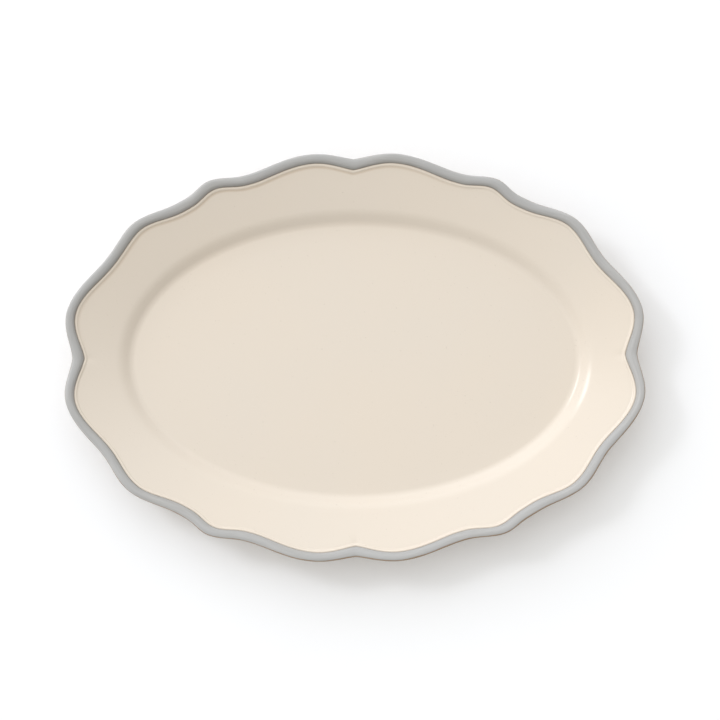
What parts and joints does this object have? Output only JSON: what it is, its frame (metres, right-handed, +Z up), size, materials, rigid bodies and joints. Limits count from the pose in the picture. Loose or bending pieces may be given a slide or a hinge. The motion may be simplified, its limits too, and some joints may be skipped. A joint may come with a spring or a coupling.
{
  "type": "serving platter",
  "caption": "Oval china serving platter with a shallow well, a broad flange, a scalloped rim with a rolled grey bead, and a low foot ring.",
  "frame": {"origin": "under the middle of the platter, on the surface it stands on", "axes": "+X along the length, +Y across the width, +Z up out of the well"},
  "size_m": [0.407, 0.2886, 0.0307],
  "materials": {
    "fired_clay": "bare fired clay, matt",
    "foot_clay": "bare fired clay, ground flat, matt",
    "cream_glaze": "warm cream glaze, satin gloss",
    "grey_glaze": "cool grey glaze, satin, thin and tan where it breaks at the edge"
  },
  "bodies": {
    "root": {"clay_body": "fired_clay", "rim_bead": "fired_clay", "foot_ring": "foot_clay", "face_glaze": "cream_glaze", "rim_glaze": "grey_glaze", "back_glaze": "cream_glaze", "recess_glaze": "cream_glaze"}
  },
  "joints": []
}
